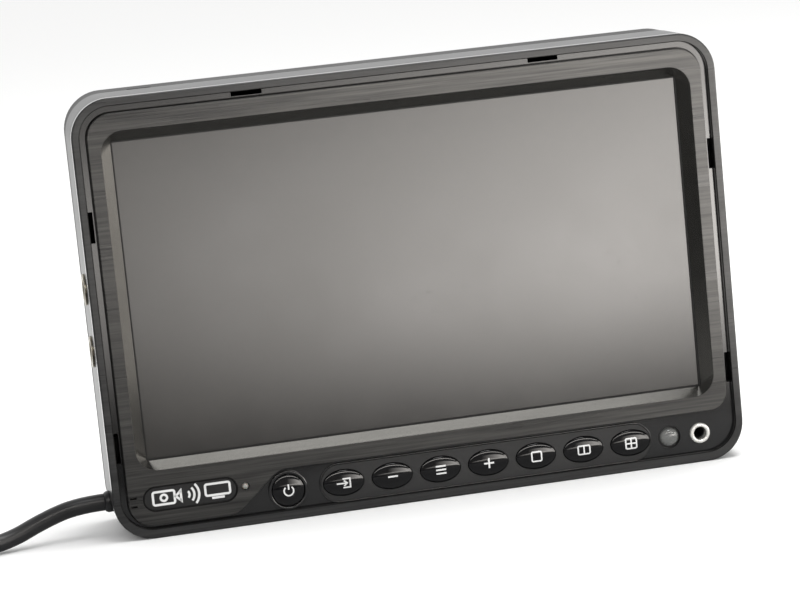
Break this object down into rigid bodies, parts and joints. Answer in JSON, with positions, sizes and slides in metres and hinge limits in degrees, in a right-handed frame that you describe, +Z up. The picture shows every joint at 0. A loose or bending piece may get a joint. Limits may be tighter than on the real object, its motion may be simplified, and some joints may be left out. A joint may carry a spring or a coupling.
{
  "type": "rear view monitor",
  "caption": "Dark brushed vehicle rear view monitor with a glossy screen, oval keys below it, threaded side inserts and a tied lead ending in a round plug.",
  "frame": {"origin": "middle of the footprint of the monitor, on the surface that it stands on", "axes": "+X to the right of the screen, -Y out of the screen towards the viewer, +Z up"},
  "size_m": [0.3476, 0.0322, 0.1181],
  "materials": {
    "case_black": "satin moulded ABS",
    "brushed_plate": "horizontal hairline brushed, dark anodised look",
    "key_gloss": "polished",
    "foam": "closed cell foam",
    "screen_glass": "grey glossy panel, switched off",
    "tray_steel": "pressed",
    "ribbon": "polyimide film",
    "board_green": "solder mask",
    "chip_black": "moulded epoxy",
    "nickel": "nickel plated",
    "speaker_paper": "pressed paper cone",
    "clear_lens": "clear polycarbonate",
    "badge_black": "printed film",
    "lead_rubber": "smooth PVC jacket",
    "tie_plastic": "woven hook band",
    "plug_plastic": "moulded PVC",
    "brass_pins": "gold flashed",
    "insert_brass": "nickel plated face, brass thread"
  },
  "bodies": {
    "casing": {"backlight_tray": "tray_steel", "badge_inlay": "badge_black", "board_components": "chip_black", "board_screws": "nickel", "display_ribbon": "ribbon", "face_plate": "brushed_plate", "front_frame": "case_black", "hank_tie": "tie_plastic", "infrared_receiver": "chip_black", "jack_ring": "nickel", "jack_socket": "chip_black", "key_board": "board_green", "key_ribbon": "ribbon", "key_switches": "chip_black", "lead_core": "lead_rubber", "lead_gland": "lead_rubber", "lead_hank": "lead_rubber", "lead_run": "lead_rubber", "lead_tail": "lead_rubber", "left_lower_insert": "insert_brass", "left_upper_insert": "insert_brass", "main_board": "board_green", "microphone": "nickel", "plug_boot": "lead_rubber", "plug_pins": "brass_pins", "plug_ring": "nickel", "plug_shell": "plug_plastic", "rear_cover": "case_black", "rear_screws": "nickel", "right_lower_insert": "insert_brass", "right_upper_insert": "insert_brass", "screen_gasket": "foam", "screen_glass": "screen_glass", "sensor_window": "clear_lens", "speaker": "speaker_paper", "status_diode": "chip_black", "status_light": "clear_lens"},
    "power_key": {"power_button": "key_gloss"},
    "source_key": {"source_button": "key_gloss"},
    "minus_key": {"minus_button": "key_gloss"},
    "menu_key": {"menu_button": "key_gloss"},
    "plus_key": {"plus_button": "key_gloss"},
    "single_view_key": {"single_view_button": "key_gloss"},
    "split_view_key": {"split_view_button": "key_gloss"},
    "quad_view_key": {"quad_view_button": "key_gloss"}
  },
  "joints": [
    {"name": "power_press", "type": "slide", "parent": "casing", "child": "power_key", "axis": [0, 1, 0], "range_m": [0, 0.0005], "stiffness_N_per_m": 1500},
    {"name": "source_press", "type": "slide", "parent": "casing", "child": "source_key", "axis": [0, 1, 0], "range_m": [0, 0.0005], "stiffness_N_per_m": 1500},
    {"name": "minus_press", "type": "slide", "parent": "casing", "child": "minus_key", "axis": [0, 1, 0], "range_m": [0, 0.0005], "stiffness_N_per_m": 1500},
    {"name": "menu_press", "type": "slide", "parent": "casing", "child": "menu_key", "axis": [0, 1, 0], "range_m": [0, 0.0005], "stiffness_N_per_m": 1500},
    {"name": "plus_press", "type": "slide", "parent": "casing", "child": "plus_key", "axis": [0, 1, 0], "range_m": [0, 0.0005], "stiffness_N_per_m": 1500},
    {"name": "single_view_press", "type": "slide", "parent": "casing", "child": "single_view_key", "axis": [0, 1, 0], "range_m": [0, 0.0005], "stiffness_N_per_m": 1500},
    {"name": "split_view_press", "type": "slide", "parent": "casing", "child": "split_view_key", "axis": [0, 1, 0], "range_m": [0, 0.0005], "stiffness_N_per_m": 1500},
    {"name": "quad_view_press", "type": "slide", "parent": "casing", "child": "quad_view_key", "axis": [0, 1, 0], "range_m": [0, 0.0005], "stiffness_N_per_m": 1500}
  ]
}
